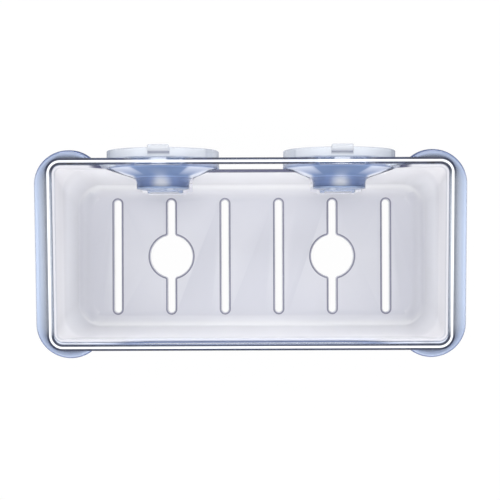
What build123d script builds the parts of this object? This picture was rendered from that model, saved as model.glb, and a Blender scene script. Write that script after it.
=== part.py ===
from build123d import *
from math import atan2, cos, sin
import os

# Kitchen sink caddy. A clear basket hangs on the sink's wall from two suction cups with flip levers,
# and a milky tray lifts out of it. Millimetres: +X runs along the caddy, +Y points at the sink's
# wall and +Z is up. The origin is under the middle of the caddy, on the plane that it stands on.

# Rail: the bar that runs round the top, lower at the front than at the back
rail_length = 259.8
rail_depth = 121.6
rail_bar_width = 3.2
rail_bar_height = 3.6
rail_bar_round = 1.0
rail_corner = 10.0
rail_height = 75.0
rail_fall = 10.0

# Tray: its outer surface at the rim, at the fold below the rim and at the foot
tray_rim_gap = 0.6
tray_rim_drop = 1.0
tray_fold_drop = 16.0
tray_fold_inset_end = 3.6
tray_fold_inset_side = 1.0
tray_fold_corner = 15.8
tray_foot_inset_end = 6.7
tray_foot_inset_side = 8.3
tray_foot_corner = 17.8
tray_foot_shift = 1.4
tray_wall = 1.8
tray_floor = 2.6
tray_bend = 6.0
tray_foot_round = 3.0

# Dips of the tray's long edges between the end walls
tray_back_dip = 22.0
tray_back_dip_half = 84.0
tray_back_dip_run = 20.0
tray_front_dip = 5.0
tray_front_dip_half = 60.0
tray_front_dip_run = 40.0

# Drain slots and holes in the tray's floor
slot_count = 6
slot_end_gap = 0.9
slot_side_gap = 17.85
slot_width = 4.0
slot_shift = 2.0
drain_hole_radius = 13.65
drain_edge_round = 1.4
drain_corner_round = 1.2

# Basket: the clear wall round the tray, open at the bottom inside a ledge
basket_gap = 0.4
basket_wall = 2.0
basket_base = 2.5
basket_ledge = 6.0
basket_back_dip = 36.0
basket_front_dip = 9.0

# Lips: the turned-down finger grips at both ends, under the rail
lip_reach = 7.5
lip_radius = 22.0
lip_overhang_back = 4.7
lip_overhang_front = 6.6
lip_skirt = 8.0
lip_wall = 2.4
lip_round = 2.0

# Cup housings: a bell with a hub at its front and a skirt at its back
cup_spacing = 116.0
cup_rim_gap = 1.0
flange_radius = 37.0
flange_rise = 5.5
flange_round = 1.4
skirt_depth = 5.7
skirt_wall = 2.4
hub_radius = 17.35
hub_length = 6.2
hub_bore_radius = 15.0
hub_neck_round = 5.0
cavity_depth = 3.5
web_thickness = 3.5
notch_gap = 0.8
notch_lever_gap = 1.2

# Suction pad: soft disc with a dished face and a pull tab
pad_gap = 0.3
pad_thickness = 6.2
pad_edge_inset = 0.1
pad_round = 1.0
pad_contact_width = 6.0
pad_dish_depth = 2.2
pad_dish_run = 5.0
tab_width = 14.0
tab_thickness = 2.9
tab_rise = 3.2
tab_lean = 1.8
tab_overlap = 2.0
tab_inset = 0.3
tab_step = 0.5
tab_lip = 1.2
tab_round = 0.7

# Draw stem, pressure plate and thrust washer
stem_radius = 5.95
stem_bore_gap = 0.05
stem_head_radius = 13.0
stem_head_thickness = 2.0
seat_gap = 0.1
tongue_half_width = 4.9
tongue_half_height = 3.2
tongue_gap = 0.5
plate_gap = 0.4
plate_side_gap = 0.8
plate_groove_depth = 1.6
plate_groove_inner = 18.0
plate_groove_outer = 29.0
washer_thickness = 1.2
washer_radius = 10.0

# Lever: two eccentric cams on a pin through the stem, and a paddle
cam_radius = 4.2
cam_lead = 1.3
cam_drop = 1.2
cam_gap = 0.3
pin_radius = 1.5
pin_bore_gap = 0.05
pin_end_inset = 0.3
lever_width = 19.0
lever_tongue_gap = 0.4
lever_top = 3.0
lever_neck_drop = 5.0
paddle_offset = 3.6
paddle_thickness = 2.7
paddle_length = 26.0
paddle_tab_width = 24.0
paddle_tab_length = 7.0
paddle_corner = 5.0
paddle_edge_round = 0.8

# Hub cap: domed cover with a slot for the lever
cap_edge = 1.0
cap_dome = 1.6
cap_spigot = 2.0
cap_spigot_gap = 0.1
cap_slot_gap = 0.4
cap_notch_gap = 1.0

# How far a cutting shape runs past what it cuts
overrun = 40.0

# Places that follow from the sizes, from front to back about the middle of the rail
tilt = atan2(rail_fall, rail_depth)
rail_back = rail_depth / 2 * cos(tilt) + rail_bar_height * sin(tilt)
skirt_rear = rail_back
flange_front = skirt_rear - skirt_depth
hub_root = flange_front - flange_rise
hub_end = hub_root - hub_length
cavity_radius = flange_radius - skirt_wall
cup_height = rail_height + rail_fall / 2 - cup_rim_gap - flange_radius
cavity_floor = skirt_rear - cavity_depth
web_front = cavity_floor - web_thickness
pad_front = skirt_rear + pad_gap
pad_rear = pad_front + pad_thickness
pad_radius = flange_radius - pad_edge_inset
washer_front = web_front - washer_thickness
pin_place = washer_front - cam_gap - cam_radius - cam_lead
paddle_back = pin_place - paddle_offset
paddle_front = paddle_back - paddle_thickness
tongue_length = cam_lead + cam_radius + tongue_gap
cap_front = hub_end - cap_edge - cap_dome

# The middle of the whole caddy is the origin
front_reach = (rail_depth / 2 + lip_overhang_front) * cos(tilt) - lip_round * sin(tilt)
rear_reach = pad_rear - tab_inset + tab_lean
ring_y = (front_reach - rear_reach) / 2

tray_half_length = rail_length / 2 - rail_bar_width - tray_rim_gap
tray_half_depth = rail_depth / 2 - rail_bar_width - tray_rim_gap
tray_rim_corner = rail_corner - rail_bar_width - tray_rim_gap
tray_foot_half_depth = tray_half_depth - tray_foot_inset_side
tray_foot_half_length = tray_half_length - tray_foot_inset_end
floor_half_length = tray_foot_half_length - tray_wall - tray_bend
floor_half_depth = tray_foot_half_depth - tray_wall - tray_bend
slot_length = 2 * (floor_half_depth - slot_end_gap)
slot_pitch = 2 * (floor_half_length - slot_side_gap - slot_width / 2) / (slot_count - 1)
lip_length = rail_depth + lip_overhang_back + lip_overhang_front
lip_centre = (lip_overhang_back - lip_overhang_front) / 2
lip_place = rail_length / 2 + lip_reach - lip_radius
cup_places = {"left": -cup_spacing / 2, "right": cup_spacing / 2}

rail_x = (1, 0, 0)
rail_y = (0, cos(tilt), sin(tilt))
rail_up = (0, -sin(tilt), cos(tilt))


def rail_plane(drop):
    """Gives the rail's sloping plane, lowered by a drop."""
    return Plane((0, ring_y, rail_height - drop), x_dir=rail_x, z_dir=rail_up)


def wall_outlines(grow, foot_height, rim_drop):
    """Gives the outlines at foot, fold and rim of a wall surface that lies outside the tray's by grow."""
    with BuildSketch(Plane((0, ring_y - tray_foot_shift, foot_height))) as foot:
        RectangleRounded(
            2 * (tray_foot_half_length + grow),
            2 * (tray_foot_half_depth + grow),
            tray_foot_corner + grow,
        )
    with BuildSketch(rail_plane(tray_fold_drop)) as fold:
        RectangleRounded(
            2 * (tray_half_length - tray_fold_inset_end + grow),
            2 * (tray_half_depth - tray_fold_inset_side + grow),
            tray_fold_corner + grow,
        )
    with BuildSketch(rail_plane(rim_drop)) as rim:
        RectangleRounded(
            2 * (tray_half_length + grow),
            2 * (tray_half_depth + grow),
            tray_rim_corner + grow,
        )
    return [foot.sketch, fold.sketch, rim.sketch]


def above_edge(half, run, dip):
    """Gives what lies above an edge that is level in the middle and rises to the rail at both ends."""
    section = Plane((0, ring_y, rail_height), x_dir=rail_x, z_dir=tuple(-v for v in rail_y))
    with BuildSketch(section) as above:
        with BuildLine():
            Line((-half, -dip), (half, -dip))
            Bezier((half, -dip), (half + run / 2, -dip), (half + run / 2, 0), (half + run, 0))
            Polyline(
                (half + run, 0),
                (half + run, overrun),
                (-half - run, overrun),
                (-half - run, 0),
            )
            Bezier((-half, -dip), (-half - run / 2, -dip), (-half - run / 2, 0), (-half - run, 0))
        make_face()
    return above.sketch


def cup_plane(x):
    """Gives the level plane through a cup's axis, with its origin level with the middle of the rail."""
    return Plane((x, ring_y, cup_height))


def cup_axis(x):
    """Gives a cup's axis, which points at the sink's wall."""
    return Axis((x, ring_y, cup_height), (0, 1, 0))


def front_plane(x, place):
    """Gives an upright plane across a cup's axis that faces the front."""
    return Plane((x, ring_y + place, cup_height), x_dir=rail_x, z_dir=(0, -1, 0))


def side_plane(x, place):
    """Gives the upright plane along a cup's axis: its x runs to the back and its y runs up."""
    return Plane((x, ring_y + place, cup_height), x_dir=(0, 1, 0), z_dir=rail_x)


def cup_profile():
    """Gives the line round half of a cup housing with its cap, in plan."""
    with BuildLine() as profile:
        TangentArc((0, cap_front), (hub_radius, hub_end - cap_edge), tangent=(1, 0))
        Polyline(
            (hub_radius, hub_end - cap_edge),
            (hub_radius, hub_root),
            (flange_radius, flange_front),
            (flange_radius, skirt_rear),
            (0, skirt_rear),
            (0, cap_front),
        )
    return profile.line


def cup_outline(x):
    """Gives half of the outline in plan of a cup housing with its cap."""
    with BuildSketch(cup_plane(x)) as outline:
        make_face(cup_profile().edges())
        fillet(outline.vertices().sort_by(lambda v: abs(v.Y - hub_root))[0], hub_neck_round)
        fillet(outline.vertices().sort_by(lambda v: abs(v.Y - flange_front))[0], flange_round)
    return outline.sketch


def housing_section(x):
    """Gives half of the section of a cup housing's clear shell."""
    with BuildSketch(cup_plane(x)) as section:
        with BuildLine():
            Polyline(
                (hub_bore_radius, hub_end),
                (hub_radius, hub_end),
                (hub_radius, hub_root),
                (flange_radius, flange_front),
                (flange_radius, skirt_rear),
                (cavity_radius, skirt_rear),
                (cavity_radius, cavity_floor),
                (stem_radius + stem_bore_gap, cavity_floor),
                (stem_radius + stem_bore_gap, web_front),
                (hub_bore_radius, web_front),
                close=True,
            )
        make_face()
        fillet(section.vertices().sort_by(lambda v: abs(v.Y - hub_root))[0], hub_neck_round)
        fillet(section.vertices().sort_by(lambda v: abs(v.Y - flange_front))[0], flange_round)
    return section.sketch


def notch_outline(x):
    """Gives the outline in plan of the tray's notch round a cup housing."""
    with BuildSketch(cup_plane(x)) as notch:
        make_face(cup_profile().edges())
        fillet(notch.vertices().sort_by(lambda v: abs(v.Y - hub_root))[0], hub_neck_round)
        mirror(about=Plane.YZ)
        with Locations((0, paddle_front - notch_lever_gap)):
            Rectangle(
                paddle_tab_width + 2 * notch_lever_gap,
                hub_root - paddle_front,
                align=(Align.CENTER, Align.MIN),
            )
        offset(amount=notch_gap)
    return notch.sketch


# Rail
with BuildPart() as rail:
    with BuildSketch(rail_plane(0)):
        RectangleRounded(rail_length, rail_depth, rail_corner)
        RectangleRounded(
            rail_length - 2 * rail_bar_width,
            rail_depth - 2 * rail_bar_width,
            rail_corner - rail_bar_width,
            mode=Mode.SUBTRACT,
        )
    extrude(amount=-rail_bar_height)
    top_edges = rail.faces().sort_by(Axis((0, 0, 0), rail_up))[-1].edges()
    fillet(top_edges, rail_bar_round)

# Basket
basket_outside = wall_outlines(basket_gap + basket_wall, 0, tray_rim_drop)
basket_inside = wall_outlines(basket_gap, basket_base, tray_rim_drop)
basket_above_back = above_edge(tray_back_dip_half, tray_back_dip_run, basket_back_dip)
basket_above_front = above_edge(tray_front_dip_half, tray_front_dip_run, basket_front_dip)

with BuildPart() as basket:
    # Finger lips: turned-down plates at both ends
    with BuildSketch(rail_plane(rail_bar_height)):
        with Locations((-lip_place, lip_centre), (lip_place, lip_centre)):
            SlotOverall(lip_length, 2 * lip_radius, rotation=90)
    extrude(amount=-lip_skirt)
    fillet(basket.edges().group_by(Axis((0, 0, 0), rail_up))[-1], lip_round)
    with BuildSketch(rail_plane(rail_bar_height + lip_wall)):
        with Locations((-lip_place, lip_centre), (lip_place, lip_centre)):
            SlotOverall(lip_length - 2 * lip_wall, 2 * (lip_radius - lip_wall), rotation=90)
    extrude(amount=-lip_skirt, mode=Mode.SUBTRACT)

    # Wall round the tray
    loft(sections=basket_outside, ruled=True)
    loft(sections=basket_inside, ruled=True, mode=Mode.SUBTRACT)
    extrude(basket_above_back, amount=-rail_depth, mode=Mode.SUBTRACT)
    extrude(basket_above_front, amount=rail_depth, mode=Mode.SUBTRACT)

    # Opening inside the ledge
    with BuildSketch(Plane((0, ring_y - tray_foot_shift, 0))):
        RectangleRounded(
            2 * (tray_foot_half_length - basket_ledge),
            2 * (tray_foot_half_depth - basket_ledge),
            tray_foot_corner,
        )
    extrude(amount=basket_base, mode=Mode.SUBTRACT)

    # Cup housings, in the room made for them, and the rail over them
    for x in cup_places.values():
        revolve(cup_outline(x), axis=cup_axis(x), mode=Mode.SUBTRACT)
    add(rail.part)
    for x in cup_places.values():
        revolve(housing_section(x), axis=cup_axis(x))
basket.part.label = "basket"

# Tray
tray_outside = wall_outlines(0, basket_base, tray_rim_drop)
tray_inside = wall_outlines(-tray_wall, basket_base + tray_floor, tray_rim_drop)

with BuildPart() as tray:
    loft(sections=tray_outside, ruled=True)
    fillet(tray.faces().sort_by(Axis.Z)[0].edges(), tray_foot_round)
    loft(sections=tray_inside, ruled=True, mode=Mode.SUBTRACT)
    fillet(tray.faces().filter_by(Plane.XY).sort_by(Axis.Z)[-1].edges(), tray_bend)

    # Dipped edges, and notches that let the tray pass the cup housings
    extrude(
        above_edge(tray_back_dip_half, tray_back_dip_run, tray_back_dip),
        amount=-rail_depth,
        mode=Mode.SUBTRACT,
    )
    extrude(
        above_edge(tray_front_dip_half, tray_front_dip_run, tray_front_dip),
        amount=rail_depth,
        mode=Mode.SUBTRACT,
    )
    for x in cup_places.values():
        extrude(notch_outline(x), amount=rail_height, both=True, mode=Mode.SUBTRACT)

    # Drain slots, and round holes on the second slot from each end
    with BuildSketch(Plane((0, ring_y - slot_shift, basket_base))) as drains:
        with GridLocations(slot_pitch, 0, slot_count, 1):
            SlotOverall(slot_length, slot_width, rotation=90)
        with GridLocations(slot_pitch * (slot_count - 3), 0, 2, 1):
            Circle(drain_hole_radius)
        joins = drains.vertices().filter_by(lambda v: abs(v.Y) < drain_hole_radius)
        fillet(joins, drain_corner_round)
    extrude(amount=tray_floor, mode=Mode.SUBTRACT)
    floor = tray.faces().filter_by(Plane.XY).sort_by(Axis.Z)[-1]
    fillet(floor.inner_wires().edges(), drain_edge_round)
tray.part.label = "tray"


def make_pad(x):
    """Makes a soft suction pad: a dished disc with a pull tab that leans back over its rim."""
    contact_inner = pad_radius - pad_round - pad_contact_width
    recess_floor = pad_front + stem_head_thickness + seat_gap
    recess_radius = stem_head_radius + seat_gap
    with BuildPart() as pad:
        with BuildSketch(cup_plane(x)) as section:
            with BuildLine():
                Polyline(
                    (0, recess_floor),
                    (recess_radius, recess_floor),
                    (recess_radius, pad_front),
                    (pad_radius, pad_front),
                    (pad_radius, pad_rear),
                    (contact_inner, pad_rear),
                    (contact_inner - pad_dish_run, pad_rear - pad_dish_depth),
                    (0, pad_rear - pad_dish_depth),
                    close=True,
                )
            make_face()
            fillet(section.vertices().group_by(Axis.X)[-1], pad_round)
        revolve(axis=cup_axis(x))
        with BuildSketch(side_plane(x, pad_rear - tab_inset)):
            with BuildLine():
                Polyline(
                    (-tab_thickness, pad_radius - tab_overlap),
                    (-tab_thickness, pad_radius + tab_step),
                    (tab_lean - tab_thickness, pad_radius + tab_rise - tab_lip),
                    (tab_lean - tab_thickness, pad_radius + tab_rise),
                    (tab_lean, pad_radius + tab_rise),
                    (tab_lean, pad_radius + tab_rise - tab_lip),
                    (0, pad_radius + tab_step),
                    (0, pad_radius - tab_overlap),
                    close=True,
                )
            make_face()
        extrude(amount=tab_width / 2, both=True)
        fillet(pad.edges().group_by(Axis.Z)[-1], tab_round)
    return pad.part


def make_plate(x):
    """Makes the stiff plate behind the soft pad, with a ring groove in its front."""
    with BuildPart() as plate:
        with BuildSketch(front_plane(x, pad_front)):
            Circle(cavity_radius - plate_side_gap)
            Circle(stem_radius + seat_gap, mode=Mode.SUBTRACT)
        extrude(amount=pad_front - cavity_floor - plate_gap)
        with BuildSketch(front_plane(x, cavity_floor + plate_gap)):
            Circle(plate_groove_outer)
            Circle(plate_groove_inner, mode=Mode.SUBTRACT)
        extrude(amount=-plate_groove_depth, mode=Mode.SUBTRACT)
    return plate.part


def make_stem(x):
    """Makes the stem: a head in the pad, a round shaft through the web and a flat tongue with an eye."""
    with BuildPart() as stem:
        with BuildSketch(front_plane(x, pad_front + stem_head_thickness)):
            Circle(stem_head_radius)
        extrude(amount=stem_head_thickness)
        with BuildSketch(front_plane(x, pad_front)):
            Circle(stem_radius)
        extrude(amount=pad_front - pin_place - tongue_length)
        with BuildSketch(side_plane(x, pin_place)):
            Rectangle(
                tongue_length,
                2 * tongue_half_height,
                align=(Align.MIN, Align.CENTER),
            )
            Circle(tongue_half_height)
            Circle(pin_radius, mode=Mode.SUBTRACT)
        extrude(amount=tongue_half_width, both=True)
    return stem.part


def make_washer(x):
    """Makes the ring that the cams bear on."""
    with BuildPart() as washer:
        with BuildSketch(front_plane(x, web_front)):
            Circle(washer_radius)
            Circle(stem_radius + seat_gap, mode=Mode.SUBTRACT)
        extrude(amount=washer_thickness)
    return washer.part


def make_pin(x):
    """Makes the pin that joins lever and stem."""
    with BuildPart() as pin:
        with BuildSketch(side_plane(x, pin_place)):
            Circle(pin_radius)
        extrude(amount=lever_width / 2 - pin_end_inset, both=True)
    return pin.part


def make_lever(x):
    """Makes a flip lever: two round cams off the pin's centre, and a paddle that hangs in front."""
    with BuildPart() as lever:
        with BuildSketch(side_plane(x, pin_place)):
            with Locations((cam_lead, -cam_drop)):
                Circle(cam_radius)
            with Locations((0, lever_top)):
                Rectangle(
                    paddle_offset,
                    lever_top + lever_neck_drop,
                    align=(Align.MAX, Align.MAX),
                )
        extrude(amount=lever_width / 2, both=True)
        with BuildSketch(side_plane(x, paddle_back)):
            Rectangle(overrun, overrun, align=(Align.MIN, Align.CENTER))
        extrude(amount=tongue_half_width + lever_tongue_gap, both=True, mode=Mode.SUBTRACT)
        with BuildSketch(front_plane(x, paddle_back)) as face:
            with Locations((0, lever_top)):
                Rectangle(lever_width, lever_top + paddle_length, align=(Align.CENTER, Align.MAX))
            with Locations((0, -paddle_length)):
                Rectangle(
                    paddle_tab_width,
                    paddle_tab_length,
                    align=(Align.CENTER, Align.MIN),
                )
            fillet(face.vertices().group_by(Axis.Y)[0], paddle_corner)
        extrude(amount=paddle_thickness)
        front = lever.faces().sort_by(Axis.Y)[0]
        fillet(front.edges(), paddle_edge_round)
        with BuildSketch(side_plane(x, pin_place)):
            Circle(pin_radius + pin_bore_gap)
        extrude(amount=lever_width, both=True, mode=Mode.SUBTRACT)
    return lever.part


def make_cap(x):
    """Makes a domed hub cap with a spigot, and a slot that is open at its foot for the lever."""
    spigot_radius = hub_bore_radius - cap_spigot_gap
    with BuildPart() as cap:
        with BuildSketch(cup_plane(x)):
            with BuildLine():
                TangentArc((0, cap_front), (hub_radius, hub_end - cap_edge), tangent=(1, 0))
                Polyline(
                    (hub_radius, hub_end - cap_edge),
                    (hub_radius, hub_end),
                    (spigot_radius, hub_end),
                    (spigot_radius, hub_end + cap_spigot),
                    (0, hub_end + cap_spigot),
                    (0, cap_front),
                )
            make_face()
        revolve(axis=cup_axis(x))
        with BuildSketch(front_plane(x, cap_front)):
            with Locations((0, paddle_offset + paddle_thickness + cap_notch_gap)):
                Rectangle(
                    lever_width + 2 * cap_slot_gap,
                    overrun,
                    align=(Align.CENTER, Align.MAX),
                )
        extrude(amount=overrun, both=True, mode=Mode.SUBTRACT)
    return cap.part


parts = {"basket": basket.part, "tray": tray.part}
cup_pieces = {
    "suction_pad": make_pad,
    "pressure_plate": make_plate,
    "draw_stem": make_stem,
    "thrust_washer": make_washer,
    "lever_pin": make_pin,
    "lever": make_lever,
    "hub_cap": make_cap,
}
for side, x in cup_places.items():
    for piece, make_piece in cup_pieces.items():
        parts[side + "_" + piece] = make_piece(x)

os.makedirs("parts", exist_ok=True)
for name, solid in parts.items():
    solid.label = name
    export_step(solid, "parts/" + name + ".step")
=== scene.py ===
"""Looks of the kitchen sink caddy: a clear basket with two suction cups and a milky lift-out tray.

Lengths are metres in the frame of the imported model: +X along the caddy, +Y towards the sink's
wall, +Z up. Places along a cup's axis are measured from the middle of the rail.
"""

from math import atan2, cos, degrees, hypot, pi, radians, sin

import bmesh
import bpy
import numpy as np
from bpy.props import FloatProperty, FloatVectorProperty
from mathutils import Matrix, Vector


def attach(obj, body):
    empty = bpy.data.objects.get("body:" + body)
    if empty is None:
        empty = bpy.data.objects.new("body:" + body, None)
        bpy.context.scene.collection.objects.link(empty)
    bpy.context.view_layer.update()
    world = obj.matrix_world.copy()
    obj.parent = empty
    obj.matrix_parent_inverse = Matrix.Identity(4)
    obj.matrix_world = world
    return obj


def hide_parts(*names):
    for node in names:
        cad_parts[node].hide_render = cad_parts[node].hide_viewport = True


bl_info = {
    "name": "Kitchen sink caddy",
    "version": (1, 0, 0),
    "blender": (4, 5, 0),
    "location": "View3D > Sidebar > Caddy",
    "description": "Builds the looks of a clear sink caddy with suction cups and a lift-out tray",
    "category": "Add Mesh",
}

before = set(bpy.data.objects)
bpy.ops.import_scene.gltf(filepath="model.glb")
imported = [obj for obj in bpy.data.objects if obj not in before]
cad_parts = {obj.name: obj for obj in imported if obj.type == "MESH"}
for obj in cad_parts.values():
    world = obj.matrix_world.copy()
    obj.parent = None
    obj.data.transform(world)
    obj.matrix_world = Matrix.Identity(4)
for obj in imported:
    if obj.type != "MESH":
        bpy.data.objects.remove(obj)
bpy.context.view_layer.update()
MM = 0.001
SIDES = {"left": -1, "right": 1}
SMOOTH_ANGLE = radians(35.0)

# Rail and lips, in a plane that slopes up towards the sink's wall. The shown rail is a little
# deeper and further to the front than the solid's, and its bar's middle runs inside its outline.
TILT = atan2(10.0, 121.6)
PLANE_Z = 75.0 * MM
RING_Y = -0.9406 * MM
RAIL_HALF_DEPTH = 60.8 * MM
RAIL_BAR = 3.6 * MM
RAIL_HALF_LENGTH = 129.9 * MM
RAIL_CORNER = 10.0 * MM
RAIL_MIDDLE = 2.1 * MM
SHOWN_HALF_DEPTH = 61.4 * MM
SHOWN_Y = -0.7 * MM
LIP_X = 115.4 * MM
LIP_Y = -0.95 * MM
LIP_RADIUS = 22.0 * MM
LIP_HALF_DEPTH = 66.45 * MM

# Cup housings: the places of their axes, of their parts along the axis, and their radii
CUP_X = 58.0 * MM
CUP_Z = 42.0 * MM
SKIRT_REAR = RAIL_HALF_DEPTH * cos(TILT) + RAIL_BAR * sin(TILT)
FLANGE_FRONT = SKIRT_REAR - 5.7 * MM
HUB_ROOT = FLANGE_FRONT - 5.5 * MM
HUB_END = HUB_ROOT - 6.2 * MM
CAP_FRONT = HUB_END - 2.6 * MM
CAVITY_FLOOR = SKIRT_REAR - 3.5 * MM
WEB_FRONT = CAVITY_FLOOR - 3.5 * MM
HUB_RADIUS = 17.35 * MM
FLANGE_RADIUS = 37.0 * MM
ROOT_BEND = 5.0 * MM
FLANGE_ROUND = 0.8 * MM
NEAR_AXIS = 0.2 * MM

# The tray's floor, and the gap between the tray and the clear wall round it
FLOOR_TOP = 5.1 * MM
FLOOR_Y = RING_Y - 2.4 * MM
DRAIN_Y = RING_Y - 2.0 * MM
DRAIN_PITCH = 36.85 * MM
TRAY_GAP = 0.4 * MM

# Stations of the tray's outer surface: half length, half depth, corner, y and z of the plane's
# origin, all in millimetres, and the cosine and sine of the plane's slope
FOOT = np.array([119.4, 48.7, 17.8, -2.3406, 2.5, 1.0, 0.0])
FOLD = np.array([122.5, 56.0, 15.8, -0.9406, 59.0, cos(TILT), sin(TILT)])
RIM = np.array([125.5, 56.3, 5.6, -0.9406, 74.0, cos(TILT), sin(TILT)])
FOLD_SOFT = 0.10
TRAY_FOOT = 2.5

# Dips of the long edges at the back and at the front: depth, half length and run, in millimetres
TRAY_DIPS = ((25.0, 84.0, 20.0), (5.0, 60.0, 40.0))
WALL_DIPS = ((36.0, 84.0, 20.0), (9.0, 60.0, 40.0))

# The basket's materials, and tints painted on its clear plastic in place of the light and shade that it
# bends: painted highlights, painted shade and dark edges
BASKET_MATERIALS = ("clear_moulding", "clear_housing", "clear_lip", "clear_glint", "clear_root")
LIP_STREAK_SHADE = (0.38, 0.47, 0.68)
LIP_HIGHLIGHT = (1.0, 1.0, 1.0)
LIP_EDGE_SHADE = (0.08, 0.12, 0.30)
LIP_SHADE = (0.22, 0.30, 0.52)
BEHIND_NOTCH = (0.70, 0.70, 0.78)
PAINTED_HUB_HIGHLIGHT = (0.74, 0.75, 0.77)
FRONT_CREST_SHADE = (0.32, 0.39, 0.60)

# Tints of the milky tray and of the soft pads, most of them painted light and shade on one colour
WALL_FOOT_HIGHLIGHT = (0.98, 0.98, 0.98)
HIGH_CORNER_SHADE = (0.72, 0.71, 0.73)
END_WALL_LIT = (0.90, 0.90, 0.92)
OUTSIDE_SHADE = (0.60, 0.61, 0.68)
BRIM_SHADE = (0.56, 0.56, 0.60)
BACK_RIM_SHADE = (0.08, 0.08, 0.14)
FRONT_RIM_SHADE = (0.30, 0.34, 0.50)
DRAIN_PAINTED_LIGHT = (0.86, 0.86, 0.9)
PULL_TAB = (0.66, 0.68, 0.72)
PAD_REAR_SHADE = (0.50, 0.54, 0.62)


def length(name, default):
    """Makes a length property of a piece."""
    return FloatProperty(name=name, default=default, unit="LENGTH", precision=5)


def colour(name, default):
    """Makes a colour property of a finish."""
    return FloatVectorProperty(name=name, default=default, subtype="COLOR", min=0.0, max=1.0)


class CaddySizes(bpy.types.PropertyGroup):
    """Sizes that give the shown pieces their form."""

    rail_half_length: length("Half of the rail's length", RAIL_HALF_LENGTH)
    rail_width: length("Width of the rail's bar", 2 * RAIL_MIDDLE)
    rail_round: length("Rounding of the rail's upper edges", 0.7 * MM)
    rail_corner: length("Outer radius of the rail's corners", RAIL_CORNER)
    tray_wall: length("Thickness of the tray's wall", 1.8 * MM)
    tray_bend: length("Inner bend between the tray's wall and floor", 8.0 * MM)
    basket_wall: length("Thickness of the clear wall round the tray", 2.0 * MM)
    lip_wall: length("Thickness of the end lips", 2.4 * MM)
    lip_round: length("Rounding of the end lips' outer edge", 2.0 * MM)
    slot_half_width: length("Half of a drain slot's width", 2.25 * MM)
    hole_radius: length("Radius of the round drain holes", 14.3 * MM)
    drain_round: length("Rounding of the drains' upper edges", 1.6 * MM)


class CaddyFinish(bpy.types.PropertyGroup):
    """Colours of the caddy's plastics."""

    clear: colour("Cast of the clear plastic", (0.94, 0.96, 1.0))
    # Painted shade: near-black lines along the rail's edges and the hubs' ends, in place of the light
    # the edges bend
    clear_edge_shade: colour("Cast of thick clear edges", (0.004, 0.006, 0.02))
    clear_thick: colour("Cast of lips, where the plastic is thick", (0.70, 0.76, 0.85))
    # Painted shade: the hubs' navy is partly the cast of thick plastic and partly painted shade of light
    # bent in the hub, darker still above the hubs
    hub: colour("Cast of the hubs, where the plastic is thickest", (0.26, 0.34, 0.55))
    hub_deep_shade: colour("Cast above the hubs, where web and hub overlap", (0.13, 0.19, 0.33))
    flange: colour("Cast of the flanges round the hubs", (0.84, 0.86, 0.92))
    cap: colour("Cast of the hub caps", (0.36, 0.45, 0.62))
    lever: colour("Cast of the levers", (0.55, 0.62, 0.76))
    milky: colour("Colour of the tray's floor", (0.735, 0.735, 0.78))
    # Painted light: the long walls paler than the floor, as light falls on them
    milky_wall_lit: colour("Colour of the tray's long walls", (0.83, 0.825, 0.84))
    milky_shade: colour("Colour of the tray's shaded bends", (0.50, 0.51, 0.59))
    # Painted shade: the dark line along the drains' upper edges
    milky_edge_shade: colour("Colour of the drains' upper edges", (0.13, 0.13, 0.21))
    soft: colour("Colour of the suction pads", (0.74, 0.77, 0.82))
    # Painted shade: the pads' sides, end facets and rear faces darker
    soft_side_shade: colour("Colour of the pads' sides, seen through more plastic", (0.42, 0.46, 0.56))
    # Painted shade: the dark lines under the pull tabs and along the disc's seam
    soft_line_shade: colour("Colour of the fold below the pull tabs", (0.22, 0.24, 0.32))
    white: colour("Colour of stems and plates", (0.90, 0.90, 0.91))


def make_piece(name, points, wrap_rows=False):
    """Puts a grid of points, rows by columns by xyz, into a mesh that is closed round its columns.

    Each face joins a point to the next ones in row and column. The first and last rows are closed
    by one flat face each, unless the rows wrap round too.
    """
    number = np.arange(points.size // 3).reshape(points.shape[:2])
    beside = np.roll(number, -1, 1)
    quads = np.stack([number, beside, np.roll(beside, -1, 0), np.roll(number, -1, 0)], -1)
    faces = quads[: None if wrap_rows else -1].reshape(-1, 4).tolist()
    if not wrap_rows:
        faces += [number[0].tolist(), number[-1].tolist()]
    mesh = bpy.data.meshes.new(name)
    mesh.from_pydata(points.reshape(-1, 3).tolist(), [], faces)
    piece = bpy.data.objects.new(name, mesh)
    bpy.context.scene.collection.objects.link(piece)
    tidy_mesh(mesh)
    return piece


def tidy_mesh(mesh):
    """Merges doubles, turns the faces outwards and shades them smooth up to an angle."""
    work = bmesh.new()
    work.from_mesh(mesh)
    bmesh.ops.remove_doubles(work, verts=work.verts, dist=1e-6)
    bmesh.ops.recalc_face_normals(work, faces=work.faces)
    work.to_mesh(mesh)
    work.free()
    mesh.shade_smooth()
    mesh.set_sharp_from_angle(angle=SMOOTH_ANGLE)


def apply_modifiers(piece):
    """Replaces a piece's mesh by what its modifiers make of it."""
    graph = bpy.context.evaluated_depsgraph_get()
    made = bpy.data.meshes.new_from_object(piece.evaluated_get(graph))
    piece.modifiers.clear()
    piece.data = made
    tidy_mesh(made)


def combine(piece, others, operation):
    """Joins or cuts a piece with other closed meshes, which are then removed."""
    for other in others:
        step = piece.modifiers.new(operation, "BOOLEAN")
        step.operation = operation
        step.solver = "EXACT"
        step.object = other
    apply_modifiers(piece)
    for other in others:
        bpy.data.objects.remove(other)


def mirror_half(piece):
    """Cuts a piece at x = 0, drops its right half and puts the left half's mirror image there."""
    step = piece.modifiers.new("mirror", "MIRROR")
    step.use_bisect_axis[0] = True
    step.use_bisect_flip_axis[0] = True
    step.merge_threshold = 1e-5
    apply_modifiers(piece)


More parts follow.
